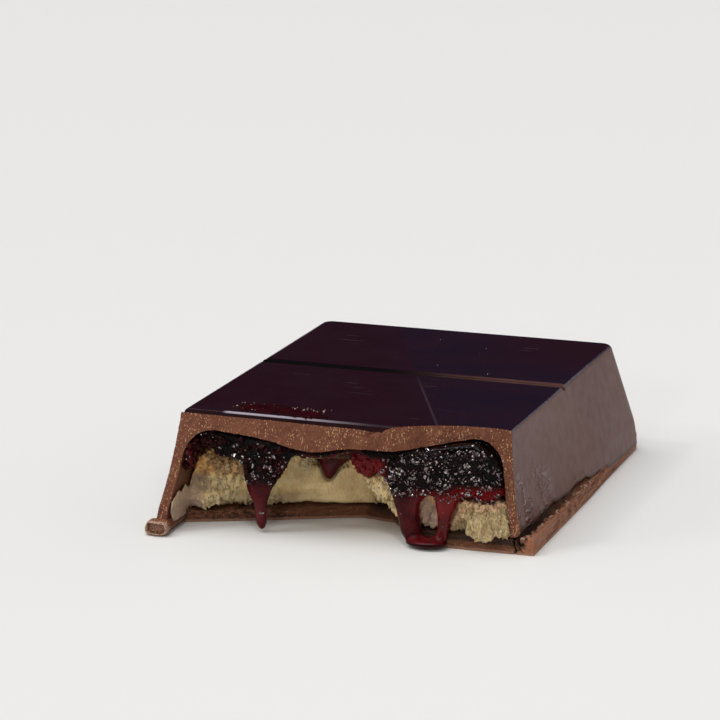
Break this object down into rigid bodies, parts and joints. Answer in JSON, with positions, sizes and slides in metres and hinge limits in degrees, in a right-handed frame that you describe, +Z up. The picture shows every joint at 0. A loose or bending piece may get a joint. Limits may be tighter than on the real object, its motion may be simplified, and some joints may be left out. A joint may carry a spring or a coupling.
{
  "type": "filled chocolate bar half",
  "caption": "Broken half of a thick moulded chocolate slab with score lines, its open end showing dark jam hanging in drips over a pale crumb filling on a thin chocolate base",
  "frame": {"origin": "Middle of the footprint's box, on the table", "axes": "+X across the bar, +Y along it from the broken end to the moulded end, +Z up"},
  "size_m": [0.075, 0.0932, 0.023],
  "materials": {
    "shell_chocolate": "Dark tempered chocolate, glossy on top, satin on the sides, lighter and grainy where it is broken",
    "base_chocolate": "Milk-brown chocolate, rough and crumbly at its rim",
    "jam": "Very dark red jam, wet and glossy, wine red where it is thin",
    "crumb_filling": "Pale cream crumb, soft, fibrous and matt"
  },
  "bodies": {
    "root": {"chocolate_shell": "shell_chocolate", "chocolate_base": "base_chocolate", "jam": "jam", "cream": "crumb_filling"}
  },
  "joints": []
}
